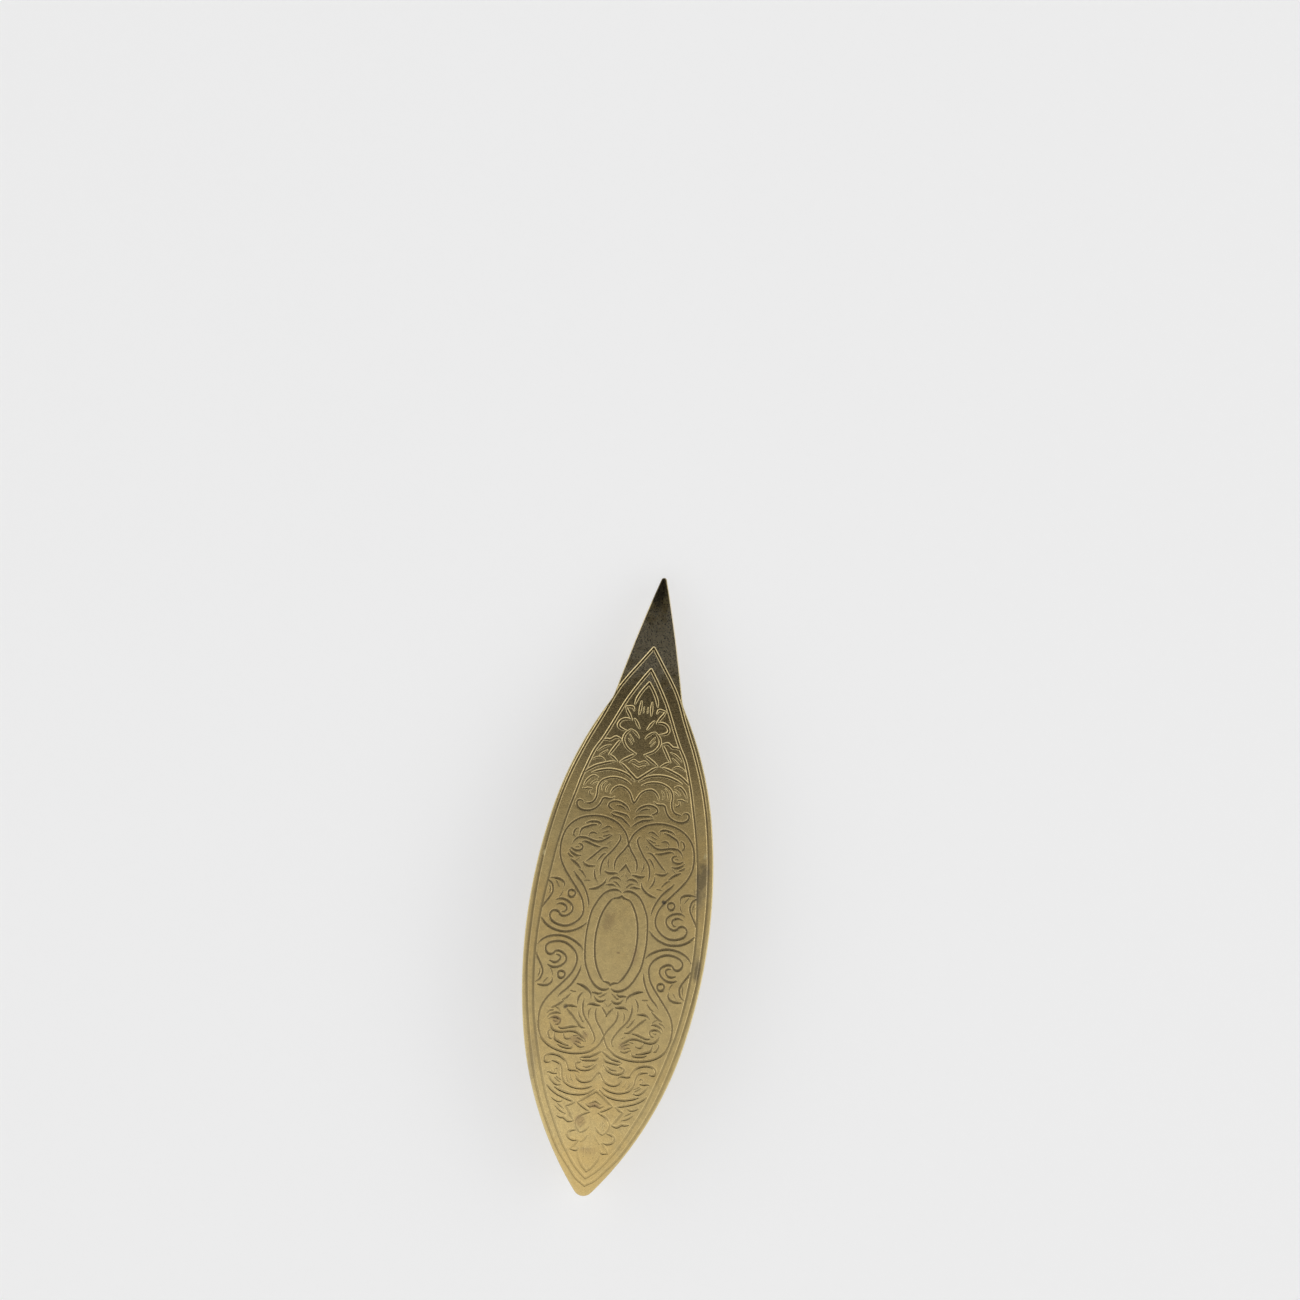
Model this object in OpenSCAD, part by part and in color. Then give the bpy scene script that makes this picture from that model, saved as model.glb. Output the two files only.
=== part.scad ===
// Post tatting shuttle in sheet brass: two bowed, leaf-shaped blades soldered to a drilled
// centre post, with their tips closing on each other. The upper blade runs on into a point.
// X runs along the shuttle towards the point, Y across it, Z from the back blade to the front.
// The origin is the middle of the thread hole in the post.

/* [Blade outline] */
// Length of the leaf, from blunt tip to blunt tip
leaf_length = 77.2; // [64:0.1:90]
// Width of the leaf at its belly
leaf_width = 26; // [20:0.1:32]
// Radius of the long side arc on either side of the middle
belly_radius = 80; // [70:1:110]
// How far from the middle the side arc runs before the tighter shoulder arc takes over
belly_reach = 16; // [12:0.5:20]
// Radius of the blunt tips
tip_radius = 1.5; // [0.8:0.1:2]

/* [Point] */
// How far the front blade's point stands out past the leaf
point_reach = 11.7; // [8:0.1:15]
// Angle between the point's two sides at its tip
point_angle = 34; // [30:1:40]
// Radius of the point's slightly bulging sides
point_side_radius = 220; // [180:10:400]
// Radius of the point's tip
point_tip_radius = 0.4; // [0.3:0.05:0.6]
// Softness of the inside corner where the point grows out of the leaf
point_blend = 0.25; // [0.1:0.05:0.5]

/* [Bow] */
// Height inside each blade, from the split plane to the sheet over the middle of the post
inside_height = 4.4; // [3.6:0.1:6]
// Crossways radius of the blade, which domes it
crown_radius = 80; // [60:1:100]
// Opening left between the two blades where their tips meet
tip_gap = 0.06; // [0.02:0.01:0.2]

/* [Sheet] */
// Thickness of the brass sheet
sheet = 0.6; // [0.4:0.05:0.9]

/* [Engraving] */
// Depth of the engraved lines
line_depth = 0.12; // [0.06:0.01:0.2]
// Width of the engraved lines
line_width = 0.48; // [0.3:0.02:0.6]
// Inset of the border's outer line from the edge of the sheet at the belly
outer_inset = 0.5; // [0.4:0.05:0.7]
// Inset of the border's inner line from the edge of the sheet at the belly
inner_inset = 1.5; // [1.35:0.05:2.5]
// Distance from the middle to the outer line's peak on the point
outer_peak = 40.5; // [38:0.1:44]
// Distance from the outer line's peak to the inner line's peak
peak_step = 3.2; // [2:0.1:4]
// Distance that the engraving's middle lies towards the blunt tip
pattern_shift = 1.6; // [0:0.1:3]
// Length of the bare oval in the middle
oval_length = 12.6; // [10:0.1:14]
// Width of the bare oval in the middle
oval_width = 5.9; // [5:0.1:7]
// Distance from the bare oval's line to the line around it
oval_band = 1.35; // [0.9:0.05:1.6]

/* [Post] */
// Length of the post along the shuttle
post_length = 12; // [9:0.5:16]
// Thickness of the post across the shuttle
post_width = 3; // [2.4:0.1:4]
// Diameter of the thread hole drilled across the post
hole_diameter = 1.6; // [1:0.1:2.2]

/* [Solder] */
// Least thickness of the solder between the post's end and the blade
solder_film = 0.06; // [0.04:0.01:0.15]
// Size of the solder fillet around the post's end
solder_fillet = 0.7; // [0.4:0.05:1]

/* [Hidden] */

steps = 60;        // stations along a blade's outline
round_fn = 96;     // facets of the post and its hole
solder_steps = 4;  // steps of the solder's hollow fillet
bow_fn = 240;      // facets of the bow and crown, as OpenSCAD draws them
margin = 1;        // how far cutting and trimming solids run past what they cut
brass = [0.72, 0.61, 0.38];
post_brass = [0.70, 0.57, 0.33];
solder_grey = [0.70, 0.69, 0.66];

// The bow: inside each blade is an arc along X that falls from the post to the tips.
bow_drop = inside_height - tip_gap / 2;
bow_radius = (pow(leaf_length / 2, 2) + pow(bow_drop, 2)) / (2 * bow_drop);
point_tip_x = leaf_length / 2 + point_reach;
bow_angle = 2 * asin((point_tip_x + 2 * margin) / bow_radius);

// The post ends a solder film short of the blade where the bow is lowest over it.
post_height = 2 * (inside_z(post_length / 2, 0) - solder_film);

// The ring of the oval is an arc through its two ends and its widest point.
oval_radius = (pow(oval_length, 2) + pow(oval_width, 2)) / (4 * oval_width);

// Height of the inside of the front blade at a place in plan.
function inside_z(x, y) =
    let (rim = bow_radius - crown_radius + sqrt(pow(crown_radius, 2) - pow(y, 2)))
    inside_height - bow_radius + sqrt(pow(rim, 2) - pow(x, 2));

// Half width of one half of a leaf at distance x from its middle. Three arcs run into each
// other: the belly, the shoulder, and the tip, which is a sharp peak where tip_r is 0.
function leaf_half_width(x, half_length, half_width, tip_r) =
    let (
        joint_slope = asin(belly_reach / belly_radius),
        joint_y = half_width - belly_radius * (1 - cos(joint_slope)),
        run = half_length - tip_r - belly_reach,
        shoulder_r = (pow(run, 2) + pow(joint_y, 2) - pow(tip_r, 2))
            / (2 * (joint_y * cos(joint_slope) - run * sin(joint_slope) - tip_r)),
        centre = [belly_reach - shoulder_r * sin(joint_slope), joint_y - shoulder_r * cos(joint_slope)],
        tip_x = half_length - tip_r,
        tangent_x = tip_r == 0 ? half_length
            : tip_x + tip_r * (tip_x - centre[0]) / (shoulder_r - tip_r)
    )
    x >= half_length ? 0
    : x <= belly_reach ? half_width - belly_radius + sqrt(pow(belly_radius, 2) - pow(x, 2))
    : x <= tangent_x ? centre[1] + sqrt(pow(shoulder_r, 2) - pow(x - centre[0], 2))
    : sqrt(pow(tip_r, 2) - pow(x - tip_x, 2));

// Half width of the point at x, from its tip back into the leaf.
function point_half_width(x) =
    let (
        half_angle = point_angle / 2,
        tip_x = point_tip_x - point_tip_radius,
        tangent_x = tip_x + point_tip_radius * sin(half_angle),
        centre = [tangent_x - point_side_radius * sin(half_angle),
            point_tip_radius * cos(half_angle) - point_side_radius * cos(half_angle)]
    )
    x >= point_tip_x ? 0
    : x >= tangent_x ? sqrt(pow(point_tip_radius, 2) - pow(x - tip_x, 2))
    : centre[1] + sqrt(pow(point_side_radius, 2) - pow(x - centre[0], 2));

function soft_max(a, b, softness) = (a + b + sqrt(pow(a - b, 2) + pow(softness, 2))) / 2;

function leaf_at(x) = leaf_half_width(abs(x), leaf_length / 2, leaf_width / 2, tip_radius);

// The front blade follows the leaf until the point is the wider of the two.
function front_at(x) =
    x < belly_reach || x >= point_tip_x ? leaf_at(x)
    : x > leaf_length / 2 ? point_half_width(x)
    : soft_max(leaf_at(x), point_half_width(x), point_blend * (1 - pow(2 * x / leaf_length, 8)));

// Stations from x0 to x1 that crowd towards both ends, where the outline turns fastest.
function stations(x0, x1) = [for (i = [0:steps]) (x0 + x1) / 2 - (x1 - x0) / 2 * cos(180 * i / steps)];

// A closed outline from its stations and half widths, once along each side.
function closed(xs, ys) = concat(
    [for (i = [0:len(xs) - 1]) [xs[i], -ys[i]]],
    [for (i = [len(xs) - 2:-1:1]) [xs[i], ys[i]]]
);

module leaf_outline() {
    xs = stations(-leaf_length / 2, leaf_length / 2);
    polygon(closed(xs, [for (x = xs) leaf_at(x)]));
}

module front_outline() {
    xs = stations(-leaf_length / 2, point_tip_x);
    polygon(closed(xs, [for (x = xs) front_at(x)]));
}

// A slab of the bowed and domed form, between two heights above the inside of the blade.
module bowed_slab(low, high, fn = bow_fn) {
    translate([0, 0, inside_height - bow_radius])
        rotate([90, 0, 0])
            rotate([0, 0, 90 - bow_angle / 2])
                rotate_extrude(angle = bow_angle, $fn = fn)
                    intersection() {
                        translate([bow_radius - crown_radius, 0])
                            difference() {
                                circle(crown_radius + high, $fn = fn);
                                circle(crown_radius + low, $fn = fn);
                            }
                        translate([bow_radius - inside_height, -leaf_width / 2 - margin])
                            square([inside_height + sheet + 2 * margin, leaf_width + 2 * margin]);
                    }
}

// A closed border line as an outline of the given inset, peaked at both ends.
module border_shape(inset, peak) {
    blunt_peak = leaf_length / 2 - inset - tip_radius;
    xs = stations(-blunt_peak, peak);
    polygon(closed(xs, [for (x = xs)
        leaf_half_width(abs(x), x < 0 ? blunt_peak : peak, leaf_width / 2 - inset, 0)]));
}

module border_line(inset, peak) {
    difference() {
        border_shape(inset, peak);
        border_shape(inset + line_width, peak - 2 * line_width);
    }
}

// An almond-shaped oval, as two equal arcs that cross.
module oval(grow) {
    intersection_for(side = [-1, 1])
        translate([0, side * (oval_radius - oval_width / 2)])
            circle(oval_radius + grow, $fn = bow_fn);
}

module oval_line(grow) {
    difference() {
        oval(grow + line_width / 2);
        oval(grow - line_width / 2);
    }
}

// The lines cut into the outside of a blade.
module engraving(outer_peak_x) {
    intersection() {
        bowed_slab(sheet - line_depth, sheet + margin);
        linear_extrude(inside_height + 2 * margin + sheet) {
            border_line(outer_inset, outer_peak_x);
            border_line(inner_inset, outer_peak_x - peak_step);
            translate([-pattern_shift, 0]) {
                oval_line(0);
                oval_line(oval_band);
            }
        }
    }
}

module front_blade() {
    color(brass)
        difference() {
            intersection() {
                bowed_slab(0, sheet);
                translate([0, 0, -2 * inside_height])
                    linear_extrude(4 * inside_height)
                        front_outline();
            }
            engraving(outer_peak);
        }
}

module back_blade() {
    color(brass)
        mirror([0, 0, 1])
            difference() {
                intersection() {
                    bowed_slab(0, sheet);
                    translate([0, 0, -inside_height])
                        linear_extrude(3 * inside_height)
                            leaf_outline();
                }
                engraving(leaf_length / 2 - outer_inset - tip_radius);
            }
}

// The post's flat-sided section with round ends, grown all round.
module post_section(grow = 0) {
    straight = post_length - post_width;
    for (side = [-1, 1])
        translate([side * straight / 2, 0])
            circle(post_width / 2 + grow, $fn = round_fn);
    square([straight, post_width + 2 * grow], center = true);
}

module post() {
    color(post_brass)
        difference() {
            linear_extrude(post_height, center = true)
                post_section();
            rotate([90, 0, 0])
                cylinder(h = post_width + 2 * margin, d = hole_diameter, center = true, $fn = round_fn);
        }
}

// Solder between the post's end and the front blade: a film over the end and a hollow fillet
// around it, both running up to the inside of the blade.
module front_solder() {
    straight = post_length - post_width;
    color(solder_grey)
        difference() {
            intersection() {
                room_under_blade();
                translate([0, 0, post_height / 2 - solder_fillet]) {
                    for (side = [-1, 1])
                        translate([side * straight / 2, 0, 0])
                            rotate_extrude($fn = round_fn)
                                solder_section();
                    rotate([90, 0, 90])
                        linear_extrude(straight, center = true) {
                            solder_section();
                            mirror([1, 0]) solder_section();
                        }
                }
            }
            linear_extrude(post_height / 2)
                post_section();
        }
}

// The room under the front blade around the post's end, in fine facets.
module room_under_blade() {
    hull()
        intersection() {
            bowed_slab(-solder_fillet - margin, 0, 4 * bow_fn);
            cube([post_length + 2 * solder_fillet + margin, post_width + 2 * solder_fillet + margin,
                3 * inside_height], center = true);
        }
}

// Half of a cut across the post's end, filled out to the hollow face of the solder.
module solder_section() {
    land = 0.05 * solder_fillet;
    reach = post_width / 2 + solder_fillet;
    polygon(concat(
        [[0, 0], [post_width / 2 + land, 0]],
        [for (i = [1:solder_steps]) let (turn = 90 * i / solder_steps)
            [reach - (solder_fillet - land) * cos(turn), solder_fillet * sin(turn)]],
        [[reach, solder_fillet + margin], [0, solder_fillet + margin]]
    ));
}

module back_solder() {
    mirror([0, 0, 1])
        front_solder();
}

front_blade();
back_blade();
post();
front_solder();
back_solder();
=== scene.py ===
# Engraved brass post shuttle for tatting: two bowed blades soldered to a drilled post.
# X runs along the shuttle to its point, Y across it, Z up through the front blade.
import math

import bmesh
import bpy
import numpy as np
from mathutils import Matrix, Vector
from mathutils.geometry import delaunay_2d_cdt


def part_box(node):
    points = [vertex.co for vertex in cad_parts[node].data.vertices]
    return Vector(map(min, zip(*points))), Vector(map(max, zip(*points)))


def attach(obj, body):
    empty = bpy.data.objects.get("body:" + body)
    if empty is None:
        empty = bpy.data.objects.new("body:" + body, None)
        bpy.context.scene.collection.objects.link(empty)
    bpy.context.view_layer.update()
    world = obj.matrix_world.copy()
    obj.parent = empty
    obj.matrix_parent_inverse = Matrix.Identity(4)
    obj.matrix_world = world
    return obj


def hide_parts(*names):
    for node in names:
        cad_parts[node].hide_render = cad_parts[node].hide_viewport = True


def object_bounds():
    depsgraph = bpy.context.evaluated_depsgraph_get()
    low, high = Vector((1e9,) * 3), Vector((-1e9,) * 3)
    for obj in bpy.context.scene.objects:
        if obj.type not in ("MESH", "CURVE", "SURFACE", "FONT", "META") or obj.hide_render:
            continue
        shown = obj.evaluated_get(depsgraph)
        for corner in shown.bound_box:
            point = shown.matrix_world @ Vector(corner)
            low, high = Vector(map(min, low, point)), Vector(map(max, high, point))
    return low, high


mm = 0.001
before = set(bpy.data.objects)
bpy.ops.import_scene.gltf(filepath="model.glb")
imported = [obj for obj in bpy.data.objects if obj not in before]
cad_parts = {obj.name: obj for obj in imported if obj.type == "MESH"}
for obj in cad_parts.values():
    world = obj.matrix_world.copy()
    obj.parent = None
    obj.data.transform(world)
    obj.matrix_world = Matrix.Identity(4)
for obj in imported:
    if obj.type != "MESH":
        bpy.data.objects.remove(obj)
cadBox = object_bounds()
print("frame loaded with", ", ".join(sorted(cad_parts)))


def placed(name, data):
    made = bpy.data.objects.new(name, data)
    bpy.context.collection.objects.link(made)
    return made


frontLow, frontHigh = (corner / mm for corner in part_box("front_blade"))
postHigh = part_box("post")[1] / mm

# Form of the two blades in millimetres: the sheet is cut to the outline, bowed and domed
bladeForm = {
    "leafHalf": -frontLow.x,
    "halfWidth": frontHigh.y,
    "pointTip": frontHigh.x,
    "top": frontHigh.z,
    "sheet": 0.6,
    "crownRadius": 80,
    "tipGap": 0.06,        # between the two blades' tips
    "bellyRadius": 80,
    "bellyReach": 16,      # half length of the belly arc
    "tipRadius": 1.5,
    "pointAngle": 34,
    "pointSideRadius": 220,
    "pointTipRadius": 0.4,
    "pointBlend": 0.25,    # softness of the corner between leaf and point
    "edgeRound": 0.15,     # rounding of the sheet's outside edge
    "backEdgeRound": 0.08, # rounding of its inside edge
    "edgeStep": 0.3,       # longest step along the outline
    "edgeTurn": 10,        # most degrees that one step turns
    "edgeSamples": 2400,
    "rowInset": 0.21,      # how far the mesh's rows along the grooves keep from the outline
    "gridStep": 0.9,       # mesh spacing away from the engraving
    "gridInset": 0.45,
    "gridCell": 0.35,      # the grid leaves out the cells of this size that a groove passes
    "insideStep": 1.8,     # mesh spacing on the plain inside
    "insideInset": 0.8,
    "endSlack": 1.3,       # times the inset that is kept free at the two ends
    "edgeStartWearAndHighlight": 0.6,   # how far the sheet is worn bright and painted with a highlight where its edge begins, on the outside rounding of the edge, and on the rest of the edge
    "edgeRoundWearAndHighlight": 1,          # on the outside rounding of the edge,
    "edgeRestWearAndHighlight": 0.5,     # and on the rest of the edge
}

insideHeight = bladeForm["top"] - bladeForm["sheet"]
bowDrop = insideHeight - bladeForm["tipGap"] / 2
bowRadius = (bladeForm["leafHalf"] ** 2 + bowDrop ** 2) / (2 * bowDrop)


def formHeight(x, y, lift):
    # height of the bowed and domed form, lift above the inside face
    crown = bladeForm["crownRadius"]
    rim = bowRadius - crown + np.sqrt((crown + lift) ** 2 - y ** 2)
    return insideHeight - bowRadius + np.sqrt(rim ** 2 - x ** 2)


def formSlope(x, y, lift):
    crown = np.sqrt((bladeForm["crownRadius"] + lift) ** 2 - y ** 2)
    rim = bowRadius - bladeForm["crownRadius"] + crown
    fall = np.sqrt(rim ** 2 - x ** 2)
    return np.stack([-x / fall, -rim * y / (crown * fall)], axis=1)


def arc(radius, centre, x):
    # how far a circle reaches from the line along the shuttle through its centre
    return np.sqrt(np.maximum(radius ** 2 - (x - centre) ** 2, 0))


def leafHalfWidth(x):
    # belly arc, shoulder arc and tip arc, each tangent to the next
    width, belly, reach, tip = (bladeForm[k] for k in ("halfWidth", "bellyRadius", "bellyReach", "tipRadius"))
    x = np.abs(x)
    slope = math.asin(reach / belly)
    jointY = width - belly * (1 - math.cos(slope))
    tipX = bladeForm["leafHalf"] - tip
    run = tipX - reach
    shoulderHighlight = (run ** 2 + jointY ** 2 - tip ** 2) / (
        2 * (jointY * math.cos(slope) - run * math.sin(slope) - tip))
    centreX = reach - shoulderHighlight * math.sin(slope)
    side = jointY - shoulderHighlight * math.cos(slope) + arc(shoulderHighlight, centreX, x)
    tangentX = tipX + tip * (tipX - centreX) / (shoulderHighlight - tip)
    ends = np.where(x <= tangentX, side, arc(tip, tipX, x))
    return np.where(x <= reach, width - belly + arc(belly, 0, x), ends)


def pointHalfWidth(x):
    radius, tip = bladeForm["pointSideRadius"], bladeForm["pointTipRadius"]
    half = math.radians(bladeForm["pointAngle"] / 2)
    tipX = bladeForm["pointTip"] - tip
    tangentX = tipX + tip * math.sin(half)
    side = (tip - radius) * math.cos(half) + arc(radius, tangentX - radius * math.sin(half), x)
    return np.where(x >= tangentX, arc(tip, tipX, x), side)


def frontHalfWidth(x):
    # the leaf, until the point is the wider of the two
    leaf, point = leafHalfWidth(x), pointHalfWidth(x)
    soft = bladeForm["pointBlend"] * (1 - np.clip(x / bladeForm["leafHalf"], 0, 1) ** 8)
    blended = (leaf + point + np.sqrt((leaf - point) ** 2 + soft ** 2)) / 2
    return np.where(x < bladeForm["bellyReach"], leaf, np.where(x > bladeForm["leafHalf"], point, blended))


# The ornament, cut with a narrow round graver. Every stroke is a row of places, two numbers each:
# millimetres across from the centre line and along from the middle of the oval, for a quarter leaf.
engraving = {
    "middle": -1.58,       # where the oval's middle lies along the shuttle
    "skew": 0.004,         # how much the pattern leans across for each millimetre along
    "veinWidth": 0.4,
    "fineWidth": 0.47,
    "boldWidth": 0.52,
    "depth": 0.105,        # of a bold stroke
    "endTaper": 0.7,       # length over which a stroke thins out at its end
    "endWidth": 0.55,      # share of the width left at the very end
    "flat": 0.3,           # share of the half width that is the groove's floor
    "rows": (1.06, 0.8, 0.55, 0.3), # rows of mesh points, in shares of the half width
    "rowGap": 0.032,       # least distance between two points of the mesh
    "step": 0.26,          # longest step along a stroke
    "turn": 16,            # most degrees that one step turns
    "spanPieces": 8,       # pieces of curve between two places of a stroke
    "fan": (-60, -30, 0, 30, 60), # angles of the mesh points round a stroke's end
    "onAxis": 0.06,        # a stroke that ends this near a line of symmetry runs on whole
    "backStretch": 1.085,  # how much longer the back blade's half towards the point is
    "wornFrom": (13, 21),  # where along the shuttle the border lines deepen from worn to whole
    "wornDepth": 0.5,      # share of the depth left where they are worn
    "softFrom": (-33, -12), # where the ornament deepens from its faint blunt end
    "softDepth": 0.6,      # share of the depth left there
}

boldStrokes = [
    # oval
    [1.05, 5.95, 1.4, 5.6, 1.8, 5, 2.25, 4.1, 2.62, 3, 2.8, 2, 2.93, 1, 2.97, 0],
    # arches
    [0.35, 22.6, 0.8, 23, 1.3, 23.35, 2, 23.62, 2.8, 23.8, 3.6, 23.85, 4.4, 23.78, 5.1, 23.6, 5.8, 23.35,
     6.4, 23.1],
    [3.4, 25.05, 4.25, 24.8, 5.1, 24.5, 5.9, 24.18, 6.6, 23.74, 7.15, 23.3, 7.55, 22.9],
    # lozenge
    [0.6, 26.5, 1, 26.22, 1.5, 25.9, 2.1, 25.52, 2.65, 25.15],
    [2.65, 25, 2.1, 24.6, 1.5, 24.1, 0.9, 23.6, 0.35, 23.15, 0, 22.9],
    [3.1, 25.1, 3.5, 25.4, 3.95, 25.7, 4.4, 25.9],
    [2.95, 28.25, 3.3, 27.7, 3.7, 27.05, 4.05, 26.45, 4.4, 25.9],
    [2.95, 28.3, 3.4, 28.45, 3.75, 28.48, 4.1, 28.25, 4.5, 27.98, 5, 28, 5.5, 27.85],
    # bar scroll
    [1.65, 32.55, 1.85, 33, 2.3, 33.02, 2.85, 32.95],
    [2.85, 32.95, 2.6, 32.45, 2.2, 31.85, 1.8, 31.25],
    [1.8, 31.15, 2.3, 31.25, 2.8, 31.2, 3.2, 31, 3.45, 30.7, 3.6, 30.3, 3.45, 29.95, 3.15, 29.77,
     2.8, 29.66, 2.4, 29.6],
    [1.4, 31.4, 1.15, 31.1, 0.85, 30.6, 0.55, 30.15],
    # spire
    [0, 36.7, 0.15, 36.45, 0.38, 36.15, 0.75, 35.6, 1.15, 34.9, 1.45, 34.2, 1.62, 33.5],
    # crossbar
    [1.05, 9.45, 1.5, 9.43, 2, 9.34, 2.5, 9.38, 2.85, 9.56],
    [2.5, 8.5, 2.6, 8.05, 2.85, 7.65, 3.25, 7.3, 3.75, 7, 4.25, 6.83, 4.7, 6.76],
    # leaf back
    [4.8, 15.9, 5.2, 15.83, 5.7, 15.65, 6.15, 15.42, 6.6, 15.2, 6.88, 14.9, 7, 14.5, 7.05, 14.15],
    [6.25, 9.45, 6.8, 9.95, 7.35, 10.35, 7.85, 10.58],
    [7.55, 10.9, 8, 11.1, 8.35, 11.38],
]

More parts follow.
